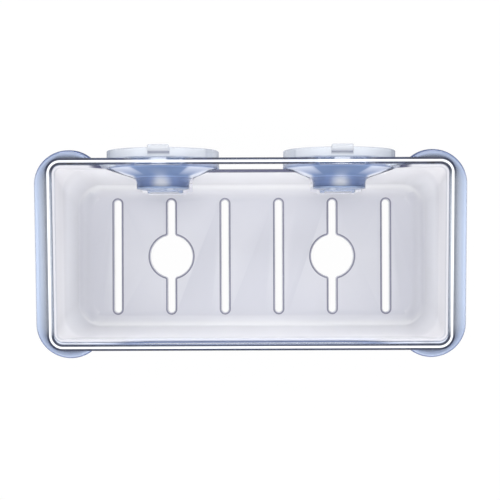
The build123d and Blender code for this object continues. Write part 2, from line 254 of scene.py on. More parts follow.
def perimeter(corner_steps, long_steps, short_steps):
    """Columns round a rounded rectangle: shares of its half sizes less the corner, and the normal.

    At each corner the normal turns by a right angle while the shares stay; along each side the
    normal stays while one share runs evenly from +1 to -1 or back.
    """
    signs = [(1, 1), (-1, 1), (-1, -1), (1, -1)]
    columns = []
    for number, corner in enumerate(np.array(signs)):
        angles = np.linspace(0, pi / 2, corner_steps) + number * pi / 2
        columns += [[*corner, np.cos(angle), np.sin(angle)] for angle in angles]
        side = np.array(signs[(number + 1) % 4]) - corner
        steps = short_steps if number % 2 else long_steps
        normal = round(cos(angles[-1])), round(sin(angles[-1]))
        columns += [[*(corner + side * share), *normal] for share in np.linspace(0, 1, steps + 1)[1:-1]]
    return np.array(columns).T


def rounded_distance(x, y, half_x, half_y, corner):
    """Distance from a rounded rectangle's edge, negative inside."""
    out_x, out_y = np.abs(x) - (half_x - corner), np.abs(y) - (half_y - corner)
    outside = np.hypot(np.maximum(out_x, 0), np.maximum(out_y, 0))
    return outside + np.minimum(np.maximum(out_x, out_y), 0) - corner


def band(value, centre, width):
    """Smooth bump: 1 at the centre and 0 from width away."""
    share = np.clip(1 - np.abs(value - centre) / width, 0, 1)
    return share * share * (3 - 2 * share)


def rise(value, start, end):
    """Smooth step from 0 at start to 1 at end."""
    share = np.clip((value - start) / (end - start), 0, 1)
    return share * share * (3 - 2 * share)


def read_field(items, field, width, kind=float):
    """One field of all vertices, corners or faces of a mesh, as rows of that width."""
    values = np.empty(len(items) * width, kind)
    items.foreach_get(field, values)
    return values.reshape(-1, width) if width > 1 else values


def face_places(mesh):
    """Centre and normal of each face, as two arrays."""
    return read_field(mesh.polygons, "center", 3), read_field(mesh.polygons, "normal", 3)


def corner_places(mesh):
    """Place of each face corner, and the centre and normal of its face, as three arrays."""
    points = read_field(mesh.vertices, "co", 3)
    index = read_field(mesh.loops, "vertex_index", 1, int)
    totals = read_field(mesh.polygons, "loop_total", 1, int)
    face = np.repeat(np.arange(len(totals)), totals)
    centres, normals = face_places(mesh)
    return points[index], centres[face], normals[face]


def lay_cast_and_painted_light(mesh, base, layers):
    """Stores a colour per face corner, which the materials read as the plastic's cast and as painted
    light and shade.

    Each layer is a tint and its share at every corner. The layers are blended over the base
    colour one after the other.
    """
    tints = np.tile(np.array(base), (len(mesh.loops), 1))
    for tint, share in layers:
        tints = tints + (np.array(tint) - tints) * share[:, None]
    values = np.concatenate([tints, np.ones((len(tints), 1))], 1)
    stored = mesh.attributes.new("cast", "FLOAT_COLOR", "CORNER")
    stored.data.foreach_set("color", values.astype(np.float32).ravel())


def wall_surface(height, columns, grow, lift=0.0):
    """Points on the tray's outer wall, or outside it by grow.

    Height is 0 at the foot, 1 at the fold and 2 at the rim. The rounded rectangle's sizes run
    straight between these stations, with a short parabola over the fold. Grow moves a point
    along its column's normal, and lift moves it up.
    """
    past = height - (1 - FOLD_SOFT)
    ramp = np.where(past < 0, 0.0, np.where(past > 2 * FOLD_SOFT, height - 1, past**2 / (4 * FOLD_SOFT)))
    foot, fold, rim = (station[:, None, None] for station in (FOOT, FOLD, RIM))
    sizes = foot + (fold - foot) * height + (rim - 2 * fold + foot) * ramp
    half_x, half_y, corner, origin_y, origin_z, run, slope = sizes
    share_x, share_y, normal_x, normal_y = columns
    grow_mm = grow / MM
    local_x = (half_x - corner) * share_x + (corner + grow_mm) * normal_x
    local_y = (half_y - corner) * share_y + (corner + grow_mm) * normal_y
    y, z = origin_y + local_y * run, origin_z + local_y * slope
    return np.stack([local_x * MM, y * MM, z * MM + lift], -1)


def edge_heights(columns, dips):
    """Height at which a wall's edge runs, per column.

    The edge is lowered by a dip between the end walls, at the back and at the front: full depth
    up to a half length, then a smooth step back to the rim over a run. What it is lowered by
    counts from 1 mm above the rim, and turns into a share of the way to the fold or the foot.
    """
    straight_half = 119.0
    fold_drop = 16.0
    rim_to_fold = 15.0
    share_x, _, _, normal_y = columns
    along = np.abs(share_x) * straight_half
    drop = np.ones_like(along)
    for side, (depth, half, run) in zip((normal_y > 0.9, normal_y < -0.9), dips):
        drop = np.where(side, np.maximum(1.0, depth * (1 - rise(along, half, half + run))), drop)
    fold_to_foot = np.where(normal_y > 0, 61.1, 52.0)
    past = drop - fold_drop
    return np.where(past < 0, 1 - past / rim_to_fold, 1 - past / fold_to_foot)


def shell_rows(columns, top, grow_out, grow_in, foot, floor, foot_round, bend):
    """Rows of a wall's closed skin: round the foot, up the outside, over the edge, down the inside.

    The edge is a half circle between the two surfaces. Both bends are quarter circles that start
    level on the foot or floor, whose heights are given in millimetres, and take up the rail's
    slope as they rise.
    """
    tall = FOLD[4] - FOOT[4]
    quarter = np.linspace(0, pi / 2, 10)

    def bend_row(angle, level, radius, grow):
        """Row of a quarter circle that leaves the level at angle 0 and ends upright."""
        lift = level + radius * (1 - cos(angle))
        height = max((lift - FOOT[4]) / tall, 0.0)
        row = wall_surface(height, columns, grow - radius * (1 - sin(angle)) * MM)
        slope_share = 1 - cos(angle) if height > 0 else 0.0
        row[..., 2] = lift * MM + (row[..., 2] - lift * MM) * slope_share
        return row

    def wall_rows(start, shares, grow):
        """Rows at shares of the way from a start height to the wall's edge."""
        low = (start - FOOT[4]) / tall
        return [wall_surface((low + (top - low) * share)[None, :], columns, grow) for share in shares]

    rows = [bend_row(angle, foot, foot_round, grow_out) for angle in quarter]
    rows += wall_rows(foot + foot_round, np.linspace(0, 1, 34)[1:], grow_out)
    middle, half = (grow_out + grow_in) / 2, (grow_out - grow_in) / 2
    for angle in np.linspace(0, pi, 11)[1:-1]:
        rows.append(wall_surface(top[None, :], columns, middle + half * cos(angle), half * sin(angle)))
    rows += wall_rows(floor + bend, np.linspace(1, 0, 34), grow_in)
    rows += [bend_row(angle, floor, bend, grow_in) for angle in quarter[::-1][1:]]
    return np.concatenate(rows)


def arc(centre, radius, start, end, steps):
    """Points on an arc, from a start to an end angle in degrees."""
    angle = np.radians(np.linspace(start, end, steps))
    return np.stack([centre[0] + radius * np.cos(angle), centre[1] + radius * np.sin(angle)], 1)


def right_of(ahead):
    """Unit normals to the right of directions in a plane."""
    normals = np.stack([ahead[:, 1], -ahead[:, 0]], 1)
    return normals / np.linalg.norm(normals, axis=1, keepdims=True)


def drain_outline(slot_half, hole_radius, hole):
    """Outline of a slot with round ends, joined to a round hole at its middle where it has one.

    Returns points and their outward normals. Where slot and hole meet, an arc from outside
    touches both: its centre lies beyond the slot's side by its radius and beyond the hole by it.
    """
    straight = 36.3 * MM
    fillet = 2.2 * MM
    quarter = [[[slot_half, 0.0]], arc((0, straight), slot_half, 0, 90, 9)]
    if hole:
        centre_x = slot_half + fillet
        centre_y = ((hole_radius + fillet) ** 2 - centre_x**2) ** 0.5
        bearing = degrees(atan2(centre_y, centre_x))
        joint = arc((centre_x, centre_y), fillet, bearing + 180, 180, 7)[1:]
        quarter = [arc((0, 0), hole_radius, 0, bearing, 24), joint, quarter[1]]
    first = np.concatenate(quarter)
    upper = np.concatenate([first, (first * [-1, 1])[::-1][1:]])
    outline = np.concatenate([upper, (upper * [-1, -1])[1:-1]])
    return outline, right_of(np.roll(outline, -1, 0) - np.roll(outline, 1, 0))


def upright_piece(name, flat, heights, x, y):
    """Closed solid that stands upright: outlines about (x, y), one at each height."""
    points = np.empty((len(heights), flat.shape[-2], 3))
    points[..., 0] = x + flat[..., 0]
    points[..., 1] = y + flat[..., 1]
    points[..., 2] = heights[:, None]
    return make_piece(name, points)


def drain_cutter(name, centre_x, hole, sizes):
    """Closed solid that cuts a drain: straight below, flaring by a quarter circle at the floor."""
    outline, normals = drain_outline(sizes.slot_half_width, sizes.hole_radius, hole)
    edge = sizes.drain_round
    angle = np.linspace(0, pi / 2, 8)
    spread = np.concatenate([[0], edge * (1 - np.cos(angle)), [edge]])
    heights = np.concatenate([[1 * MM], FLOOR_TOP - edge + edge * np.sin(angle), [FLOOR_TOP + 2 * MM]])
    flat = outline[None] + normals[None] * spread[:, None, None]
    return upright_piece(name, flat, heights, centre_x, DRAIN_Y)


def rounded_corner(before, corner, after, radius, steps=8):
    """Points of an arc of that radius in a polyline's corner, touching both runs."""
    before, corner, after = (np.array(p, float) for p in (before, corner, after))
    one, two = before - corner, after - corner
    one, two = one / hypot(*one), two / hypot(*two)
    half = np.arccos(np.clip(one @ two, -1, 1)) / 2
    centre = corner + (one + two) / hypot(*(one + two)) * radius / sin(half)
    start = corner + one * radius / np.tan(half) - centre
    end = corner + two * radius / np.tan(half) - centre
    first = atan2(start[1], start[0])
    sweep = (atan2(end[1], end[0]) - first + pi) % (2 * pi) - pi
    angle = first + sweep * np.linspace(0, 1, steps)
    return centre + radius * np.stack([np.cos(angle), np.sin(angle)], 1)


def rounded_corners(corners, steps=7):
    """One arc for each corner of a closed polyline, whose corners are (first, second, rounding)."""
    arcs = []
    for number, (first, second, rounding) in enumerate(corners):
        before, after = corners[number - 1][:2], corners[(number + 1) % len(corners)][:2]
        arcs.append(rounded_corner(before, (first, second), after, rounding, steps))
    return arcs


def cup_half_outline(grow):
    """Half of a cup housing's outline in plan with its domed cap, as (radius, place) from the axis.

    The dome is an arc through the cap's middle and its edge. The hub's root is an arc in the
    corner between hub and flange, and every point moves out by grow along the normal.
    """
    end, root = (HUB_RADIUS, HUB_END), (HUB_RADIUS, HUB_ROOT)
    edge, rear = (FLANGE_RADIUS, FLANGE_FRONT), (FLANGE_RADIUS, SKIRT_REAR)
    bulge = 1.6 * MM
    dome = (HUB_RADIUS**2 + bulge**2) / (2 * bulge)
    angle = np.linspace(0, np.arcsin(HUB_RADIUS / dome), 10)
    outline = np.concatenate(
        [
            np.stack([dome * np.sin(angle), CAP_FRONT + dome - dome * np.cos(angle)], 1),
            rounded_corner(end, root, edge, ROOT_BEND),
            rounded_corner(root, edge, rear, FLANGE_ROUND, 6),
            [rear],
        ]
    )
    return outline + grow * right_of(np.gradient(outline, axis=0))


def revolve(profile, x, steps=128):
    """Turns a profile of (radius, place) about a cup's axis, which runs along y."""
    angle = np.linspace(0, 2 * pi, steps, endpoint=False)
    radius = profile[:, 0, None]
    y = RING_Y + np.broadcast_to(profile[:, 1, None], (len(profile), steps))
    return np.stack([x + radius * np.cos(angle), y, CUP_Z + radius * np.sin(angle)], -1)


def cup_room(name, x):
    """Closed solid a little inside a cup housing, to clear the wall where the housing goes."""
    half = cup_half_outline(-0.3 * MM)
    rear = SKIRT_REAR + 1 * MM
    closed = np.concatenate([half[1:-1], [[half[-1, 0], rear], [NEAR_AXIS, rear]]])
    return make_piece(name, revolve(closed, x))


def notch_cutter(name, x):
    """Upright prism of a cup housing's outline with a gap round it, to notch the tray.

    Over the width of the lever's paddle the notch runs a little further to the front.
    """
    half = cup_half_outline(0.35 * MM)[1:]
    paddle = 12.4 * MM
    front = CAP_FRONT - 0.5 * MM
    past_paddle = half[half[:, 0] > paddle]
    rear = [half[-1, 0], SKIRT_REAR + 4 * MM]
    half = np.concatenate([[[0.5 * paddle, front], [paddle, front]], past_paddle, [rear]])
    outline = np.concatenate([half[::-1] * [-1, 1], half])
    return upright_piece(name, outline, np.array([-5 * MM, 100 * MM]), x, RING_Y)


def housing(name, x):
    """Clear shell of a cup housing: a hub with a bore, a sloping flange, a web and a skirt."""
    bore, cavity, stem = 15.0 * MM, 34.6 * MM, 6.0 * MM
    soft = 0.5 * MM
    corners = [
        (bore, HUB_END, soft),
        (HUB_RADIUS, HUB_END, soft),
        (HUB_RADIUS, HUB_ROOT, ROOT_BEND),
        (FLANGE_RADIUS, FLANGE_FRONT, FLANGE_ROUND),
        (FLANGE_RADIUS, SKIRT_REAR, soft),
        (cavity, SKIRT_REAR, soft),
        (cavity, CAVITY_FLOOR, 1.0 * MM),
        (stem, CAVITY_FLOOR, soft),
        (stem, WEB_FRONT, soft),
        (bore, WEB_FRONT, 1.5 * MM),
    ]
    return make_piece(name, revolve(np.concatenate(rounded_corners(corners)), x), wrap_rows=True)


def sloping_rows(columns, section, half_x, half_y, corner, centre_y, centre_x=0.0):
    """Carries a section of (across, up) round a rounded rectangle in the rail's sloping plane."""
    share_x, share_y, normal_x, normal_y = columns
    across, up = section[:, 0, None], section[:, 1, None]
    local_x = centre_x + (half_x - corner) * share_x + (corner + across) * normal_x
    local_y = centre_y + (half_y - corner) * share_y + (corner + across) * normal_y
    y = RING_Y + local_y * cos(TILT) - up * sin(TILT)
    z = PLANE_Z + local_y * sin(TILT) + up * cos(TILT)
    return np.stack([local_x, y, z], -1)


def rail_ring(name, sizes):
    """Rail: a bar with a round-edged section carried round the sloping rounded rectangle."""
    wide, soft, foot_soft = sizes.rail_width, sizes.rail_round, 0.8 * MM
    upper = [(0, 0, soft), (-wide, 0, soft)]
    lower = [(-wide, -RAIL_BAR, foot_soft), (0, -RAIL_BAR, foot_soft)]
    section = rounded_corners(upper + lower)
    crest = [[-share * wide, 0.0] for share in (0.30, 0.39, 0.61, 0.70)]
    section.insert(1, np.array(crest))
    outline = (sizes.rail_half_length, SHOWN_HALF_DEPTH, sizes.rail_corner, SHOWN_Y)
    rows = sloping_rows(perimeter(24, 60, 30), np.concatenate(section), *outline)
    return make_piece(name, rows, wrap_rows=True)


def lip_shell(name, sizes):
    """Left end lip: a plate under the rail whose rim turns down, hollow below."""
    wall, inner = sizes.lip_wall, -LIP_RADIUS
    top, foot = 0.2 * MM - RAIL_BAR, -RAIL_BAR - 8.0 * MM
    under = top - wall
    near_middle = inner + 0.5 * MM
    section = np.concatenate(
        [
            [[near_middle, top]],
            rounded_corner((inner, top), (0, top), (0, foot), sizes.lip_round, 9),
            rounded_corner((0, top), (0, foot), (-wall, foot), 0.8 * MM, 5),
            rounded_corner((0, foot), (-wall, foot), (-wall, under), 0.8 * MM, 5),
            rounded_corner((-wall, foot), (-wall, under), (inner, under), 0.4 * MM, 4),
            [[near_middle, under]],
        ]
    )
    columns = perimeter(40, 2, 60)
    outline = (LIP_RADIUS, LIP_HALF_DEPTH, LIP_RADIUS, LIP_Y, -LIP_X)
    return make_piece(name, sloping_rows(columns, section, *outline))


def basket_wall(name, sizes):
    """Clear wall round the tray: a closed skin that ends in a ledge at the bottom."""
    columns = perimeter(20, 122, 40)
    under_rail = 1.95
    ledge_width = 8.0 * MM
    top = np.minimum(edge_heights(columns, WALL_DIPS), under_rail)
    outer = TRAY_GAP + sizes.basket_wall
    rows = shell_rows(columns, top, outer, TRAY_GAP, 0.0, TRAY_FOOT, foot_round=2.0, bend=2.0)
    ledge = wall_surface(0.0, columns, -ledge_width)[0]
    floor_ring, under_ring = ledge.copy(), ledge.copy()
    floor_ring[:, 2] = rows[-1][:, 2].min()
    under_ring[:, 2] = 0.0
    return make_piece(name, np.concatenate([[under_ring], rows, [floor_ring]]), wrap_rows=True)


def clear_inside(name):
    """Closed solid of the room inside the middle of the basket's wall, where the end lips stop."""
    heights = np.array([0.0, 0.5, 0.9, 0.95, 1.0, 1.05, 1.1, 1.6, 2.0, 2.3])[:, None]
    return make_piece(name, wall_surface(heights, perimeter(20, 60, 40), 1.5 * MM))


def suction_pad(name, x):
    """Soft disc: a profile with a round rim, a flat contact ring and a dish, turned about the axis."""
    front = SKIRT_REAR + 0.3 * MM
    rear = front + 6.2 * MM
    outer, ring, dish, recess = 36.9 * MM, 29.9 * MM, 24.9 * MM, 13.1 * MM
    recess_floor, dish_floor = front + 2.1 * MM, rear - 2.2 * MM
    soft = 1.0 * MM
    corners = [
        (NEAR_AXIS, recess_floor, 0.0),
        (recess, recess_floor, 0.4 * MM),
        (recess, front, 0.4 * MM),
        (outer, front, soft),
        (outer, rear, soft),
        (ring, rear, 2.0 * MM),
        (dish, dish_floor, 2.0 * MM),
        (NEAR_AXIS, dish_floor, 0.0),
    ]
    first, last = corners[0][:2], corners[-1][:2]
    profile = np.concatenate([[first], *rounded_corners(corners, 8)[1:-1], [last]])
    return make_piece(name, revolve(profile, x))


def pull_tab(name, x):
    """Pull tab: a rounded rectangle outline lifted along a line that leans back over the rim."""
    share_x, share_y, normal_x, normal_y = perimeter(8, 10, 4)
    lift = np.array([-2.0, 0.5, 1.2, 2.0, 2.6, 3.0, 3.2])[:, None] * MM
    lean = np.array([0.0, 0.0, 0.7, 1.5, 1.8, 1.8, 1.8])[:, None] * MM
    inset = np.array([0.0, 0.0, 0.0, 0.0, 0.06, 0.3, 0.7])[:, None] * MM
    half_x, half_y, corner = 7.0 * MM, 1.45 * MM, 1.0 * MM
    local_x = (half_x - corner) * share_x + (corner - inset) * normal_x
    local_y = (half_y - corner) * share_y + (corner - inset) * normal_y
    pad_rear, pad_radius = SKIRT_REAR + 6.2 * MM, 36.9 * MM
    y = RING_Y + pad_rear - half_y + lean + local_y
    z = CUP_Z + pad_radius + np.broadcast_to(lift, local_x.shape)
    return make_piece(name, np.stack([x + local_x, y, z], -1))


def add_node(tree, kind, inputs=(), operation=""):
    """Adds a shader node, and sets its operation and some of its inputs."""
    node = tree.nodes.new("ShaderNode" + kind)
    if operation:
        node.operation = operation
    for socket, value in dict(inputs).items():
        node.inputs[socket].default_value = value
    return node


def link_nodes(tree, *links):
    """Joins sockets, each given as (from node, output, to node, input)."""
    for source, output, target, socket in links:
        tree.links.new(source.outputs[output], target.inputs[socket])


def add_ramp(tree, stops):
    """Adds a colour ramp, whose stops are a position and a colour each."""
    ramp = add_node(tree, "ValToRGB")
    elements = ramp.color_ramp.elements
    elements[0].position, elements[0].color = stops[0]
    elements[1].position, elements[1].color = stops[-1]
    for position, tint in stops[1:-1]:
        elements.new(position).color = tint
    return ramp


def add_rays(tree):
    """Adds the light path, and the largest of its answers on mirrored and on bent light."""
    path = add_node(tree, "LightPath")
    bent = add_node(tree, "Math", operation="MAXIMUM")
    link_nodes(tree, (path, "Is Glossy Ray", bent, 0), (path, "Is Transmission Ray", bent, 1))
    return path, bent


def empty_tree(owner, output):
    """Node tree of a new material or world, with nothing but its output."""
    owner.use_nodes = True
    owner.node_tree.nodes.clear()
    return owner.node_tree, add_node(owner.node_tree, output)


def new_material(name, ripple_scale, ripple_strength, inputs):
    """New material: a Principled shader with a low bump of noise on Object coordinates."""
    material = bpy.data.materials.new(name)
    material.use_nodes = True
    tree = material.node_tree
    shader = tree.nodes["Principled BSDF"]
    for socket, value in inputs.items():
        shader.inputs[socket].default_value = value
    place = add_node(tree, "TexCoord")
    noise = add_node(tree, "TexNoise", {"Scale": ripple_scale, "Detail": 2.0})
    bump = add_node(tree, "Bump", {"Strength": ripple_strength, "Distance": 1 * MM})
    link_nodes(
        tree,
        (place, "Object", noise, "Vector"),
        (noise, "Fac", bump, "Height"),
        (bump, "Normal", shader, "Normal"),
    )
    return tree, shader


def add_corner_colours(tree):
    """Adds a node that reads the piece's corner colours."""
    cast = add_node(tree, "Attribute")
    cast.attribute_name = "cast"
    return cast


def clear_material(name, tint, has_cast, roughness, clearness=1.0, ior=1.49):
    """Clear plastic: a polished dielectric with a faint blue cast and a fine moulded ripple.

    The cast, with the painted light and shade laid in it, comes from the piece's corner colours where it
    has them. Light from lamps passes.
    """
    inputs = {"Base Color": (*tint, 1), "Roughness": roughness}
    inputs.update({"Transmission Weight": clearness, "IOR": ior})
    tree, shader = new_material(name, 60.0, 0.02, inputs)
    if has_cast:
        link_nodes(tree, (add_corner_colours(tree), "Color", shader, "Base Color"))
    passing = add_node(tree, "BsdfTransparent", {"Color": (0.92, 0.94, 0.97, 1)})
    path = add_node(tree, "LightPath")
    either = add_node(tree, "MixShader")
    link_nodes(
        tree,
        (path, "Is Shadow Ray", either, "Fac"),
        (shader, 0, either, 1),
        (passing, 0, either, 2),
        (either, 0, tree.nodes["Material Output"], "Surface"),
    )


def milky_material(name):
    """Milky plastic: the piece's corner colours with slow cloudy changes and a satin gloss."""
    inputs = {"Transmission Weight": 0.12, "IOR": 1.49, "Roughness": 0.22}
    tree, shader = new_material(name, 90.0, 0.03, inputs)
    place = add_node(tree, "TexCoord")
    cloud = add_node(tree, "TexNoise", {"Scale": 14.0, "Detail": 1.5})
    shade = add_node(tree, "MapRange", {"To Min": 0.96, "To Max": 1.03})
    tinted = add_node(tree, "VectorMath", operation="SCALE")
    link_nodes(
        tree,
        (place, "Object", cloud, "Vector"),
        (cloud, "Fac", shade, "Value"),
        (add_corner_colours(tree), "Color", tinted, 0),
        (shade, "Result", tinted, "Scale"),
        (tinted, 0, shader, "Base Color"),
    )


def soft_material(name):
    """Soft plastic of the suction pads: the piece's corner colours, partly clear and smooth."""
    inputs = {"Transmission Weight": 0.3, "IOR": 1.49, "Roughness": 0.25}
    tree, shader = new_material(name, 120.0, 0.04, inputs)
    link_nodes(tree, (add_corner_colours(tree), "Color", shader, "Base Color"))


def white_material(name, tint):
    """White moulded plastic with a slight gloss."""
    new_material(name, 150.0, 0.05, {"Base Color": (*tint, 1), "Roughness": 0.35})


def steel_material(name):
    """Stainless steel of the lever pins."""
    inputs = {"Base Color": (0.72, 0.72, 0.74, 1), "Metallic": 1.0, "Roughness": 0.3}
    new_material(name, 200.0, 0.05, inputs)


def material_named(name):
    """Looks up a material, and makes it from the finish settings the first time.

    A clear one's settings are its tint, whether it reads the corner colours, its roughness, its
    clearness and its refractive index.
    """
    finish = bpy.context.scene.caddy_finish
    makers = {
        "clear_moulding": (clear_material, finish.clear, True, 0.02),
        "clear_housing": (clear_material, finish.clear, True, 0.25, 0.6, 1.2),
        "clear_lip": (clear_material, finish.clear, True, 0.10, 0.6),
        # A dull, barely reflecting copy of the clear plastic that paints shade on the cones and the
        # front crest
        "clear_root": (clear_material, finish.clear, True, 0.30, 0.3, 1.02),
        "clear_glint": (clear_material, finish.clear, True, 0.10, 0.2),
        "clear_cap": (clear_material, finish.cap, False, 0.20, 0.6),
        "clear_lever": (clear_material, finish.lever, False, 0.10, 0.7),
        "tray_milky": (milky_material,),
        "pad_soft": (soft_material,),
        "fitting_white": (white_material, finish.white),
        "pin_steel": (steel_material,),
    }
    if name not in bpy.data.materials:
        maker, *settings = makers[name]
        maker(name, *settings)
    return bpy.data.materials[name]


def paint(piece, *names):
    """Gives a piece its materials, in that order."""
    piece.data.materials.clear()
    for name in names:
        piece.data.materials.append(material_named(name))


def add_floor():
    """White floor that keeps part of the object's shadow.

    What clear plastic bends shows the floor white below the object and dark further out, as a
    lit table of that size does, so that its edges are drawn dark.
    """
    half = 0.26
    lit_half_x, lit_half_y = 0.24, 0.12
    corners = [(-half, -half, 0), (half, -half, 0), (half, half, 0), (-half, half, 0)]
    mesh = bpy.data.meshes.new("floor")
    mesh.from_pydata(corners, [], [range(4)])
    floor = bpy.data.objects.new("floor", mesh)
    bpy.context.scene.collection.objects.link(floor)
    material = bpy.data.materials.new("floor")
    tree, out = empty_tree(material, "OutputMaterial")
    diffuse = add_node(tree, "BsdfDiffuse", {"Color": (0.8, 0.8, 0.8, 1)})
    white = add_node(tree, "Emission")
    table = add_node(tree, "Emission")
    place = add_node(tree, "TexCoord")
    squeeze = add_node(tree, "VectorMath", {1: (1 / lit_half_x, 1 / lit_half_y, 0)}, "MULTIPLY")
    reach = add_node(tree, "VectorMath", operation="LENGTH")
    ramp = add_ramp(tree, [(0.62, (1, 1, 1, 1)), (0.82, (0.03, 0.05, 0.10, 1))])
    path, bent = add_rays(tree)
    lit = add_node(tree, "MixShader", {"Fac": 0.97})
    seen = add_node(tree, "MixShader")
    either = add_node(tree, "MixShader")
    link_nodes(
        tree,
        (diffuse, 0, lit, 1),
        (white, 0, lit, 2),
        (path, "Is Camera Ray", seen, "Fac"),
        (diffuse, 0, seen, 1),
        (lit, 0, seen, 2),
        (place, "Object", squeeze, 0),
        (squeeze, 0, reach, 0),
        (reach, "Value", ramp, "Fac"),
        (ramp, "Color", table, "Color"),
        (bent, 0, either, "Fac"),
        (seen, 0, either, 1),
        (table, 0, either, 2),
        (either, 0, out, "Surface"),
    )
    mesh.materials.append(material)


def add_world(scene):
    """Plain light on the object; a studio with a bright ceiling and dark sides in reflections."""
    scene.world = bpy.data.worlds.new("studio")
    tree, out = empty_tree(scene.world, "OutputWorld")
    plain = add_node(tree, "Background", {"Color": (0.97, 0.98, 1.0, 1), "Strength": 1.0})
    white = add_node(tree, "Background", {"Color": (1, 1, 1, 1)})
    studio = add_node(tree, "Background")
    place = add_node(tree, "TexCoord")
    split = add_node(tree, "SeparateXYZ")
    scale = add_node(tree, "MapRange", {"From Min": -1.0, "From Max": 1.0})
    stops = [
        (0.0, (1.0, 1.0, 1.0, 1)),
        (0.15, (0.8, 0.85, 0.92, 1)),
        (0.30, (0.10, 0.13, 0.22, 1)),
        (0.62, (0.06, 0.08, 0.15, 1)),
        (0.76, (0.45, 0.50, 0.62, 1)),
        (0.86, (1.0, 1.0, 1.0, 1)),
    ]
    ramp = add_ramp(tree, stops)
    path, bent = add_rays(tree)
    mirrored = add_node(tree, "MixShader")
    seen = add_node(tree, "MixShader")
    link_nodes(
        tree,
        (place, "Generated", split, 0),
        (split, "Z", scale, "Value"),
        (scale, "Result", ramp, "Fac"),
        (ramp, "Color", studio, "Color"),
        (bent, 0, mirrored, "Fac"),
        (plain, 0, mirrored, 1),
        (studio, 0, mirrored, 2),
        (path, "Is Camera Ray", seen, "Fac"),
        (mirrored, 0, seen, 1),
        (white, 0, seen, 2),
        (seen, 0, out, "Surface"),
    )


def add_lights():
    """Four wide lamps round the caddy and one above."""
    target = Vector((0, 0, 0.04))
    lamps = [
        ("front", (0.0, -0.75, 0.42), 0.9, 0.5, 4.7),
        ("back", (0.0, 0.75, 0.42), 0.9, 0.5, 4.7),
        ("left", (-0.75, 0.0, 0.42), 0.5, 0.5, 0.9),
        ("right", (0.75, 0.0, 0.42), 0.5, 0.5, 0.9),
        ("top", (0.0, 0.0, 1.3), 0.8, 0.8, 2.0),
    ]
    for name, place, wide, tall, power in lamps:
        data = bpy.data.lights.new(name, "AREA")
        data.shape = "RECTANGLE"
        data.size = wide
        data.size_y = tall
        data.energy = power
        lamp = bpy.data.objects.new(name, data)
        lamp.location = place
        lamp.rotation_mode = "QUATERNION"
        lamp.rotation_quaternion = (target - Vector(place)).to_track_quat("-Z", "Y")
        bpy.context.scene.collection.objects.link(lamp)


def add_camera(scene):
    """Camera above, a little to the right and turned, as the caddy is photographed."""
    data = bpy.data.cameras.new("camera")
    data.lens = 91.0
    data.sensor_width = 36.0
    data.shift_x = -0.0284
    camera = bpy.data.objects.new("camera", data)
    camera.location = (8.5 * MM, RING_Y + 2.2 * MM, 875 * MM)
    camera.rotation_euler = (0.0, 0.0, radians(-0.19))
    scene.collection.objects.link(camera)
    scene.camera = camera


class CADDY_OT_stage(bpy.types.Operator):
    """Adds the floor, the lights, the world and the camera"""

    bl_idname = "caddy.stage"
    bl_label = "Add stage"

    def execute(self, context):
        scene = context.scene
        scene.view_settings.view_transform = "Standard"
        add_floor()
        add_world(scene)
        add_lights()
        add_camera(scene)
        return {"FINISHED"}


def read_outlines(place):
    """Reads places in the rail's sloping plane.

    Returns how far they lie along the caddy, up the slope and above the plane, and their
    distances from the lips' and the rail's outlines, negative inside.
    """
    x, y, z = place[:, 0], place[:, 1] - RING_Y, place[:, 2] - PLANE_Z
    level_y, up = y * cos(TILT) + z * sin(TILT), z * cos(TILT) - y * sin(TILT)
    lip = rounded_distance(np.abs(x) - LIP_X, level_y - LIP_Y, LIP_RADIUS, LIP_HALF_DEPTH, LIP_RADIUS)
    rail = rounded_distance(x, level_y - SHOWN_Y, RAIL_HALF_LENGTH, SHOWN_HALF_DEPTH, RAIL_CORNER)
    return x, level_y, up, lip, rail


def on_bell(centre):
    """Tells which face centres lie on a cup housing, and not on the wall in front of its cone."""
    y = centre[:, 1] - RING_Y
    radius = np.hypot(np.abs(centre[:, 0]) - CUP_X, centre[:, 2] - CUP_Z)
    slope = (FLANGE_FRONT - HUB_ROOT) / (FLANGE_RADIUS - HUB_RADIUS)
    cone = HUB_ROOT + (radius - HUB_RADIUS) * slope - 0.2 * MM
    front = np.where(radius < 22 * MM, CAP_FRONT, cone)
    return (radius < FLANGE_RADIUS + 0.1 * MM) & (y > front) & (y < SKIRT_REAR + 0.01 * MM)


def on_front_crest(level_y, up, rail):
    """Tells what lies at the top edge of the clear wall, inside the front rail."""
    return (level_y < -50 * MM) & (up < -0.2 * MM) & (up > -14 * MM) & (rail < -3.9 * MM)


def lip_layers(level_y, up, lip, finish):
    """Layers at the end lips' height: bluer plastic, with painted highlight and shade in streaks along
    the lips' edge.
    """
    at_lips = (up < -RAIL_BAR + 0.3 * MM) & (up > -14 * MM)
    at_corner = rise(np.abs(level_y), 44 * MM, 56 * MM)
    painted_streaks = band(lip, -1.6 * MM, 1.5 * MM) * 0.55 + band(lip, -3.2 * MM, 0.6 * MM) * 0.25
    return [
        (finish.clear_thick, at_lips),
        # Painted light of the lips: darker streaks, a white highlight band, and a dark edge and shade
        # that deepen at the corners
        (LIP_STREAK_SHADE, at_lips * painted_streaks),
        (LIP_HIGHLIGHT, at_lips * band(lip, -4.9 * MM, 1.6 * MM) * (1 - 0.6 * at_corner)),
        (LIP_EDGE_SHADE, at_lips * band(lip, 0, 1.8 * MM) * (0.25 + 0.7 * at_corner)),
        (LIP_SHADE, at_lips * band(lip, -3.0 * MM, 1.6 * MM) * at_corner * 0.6),
    ]


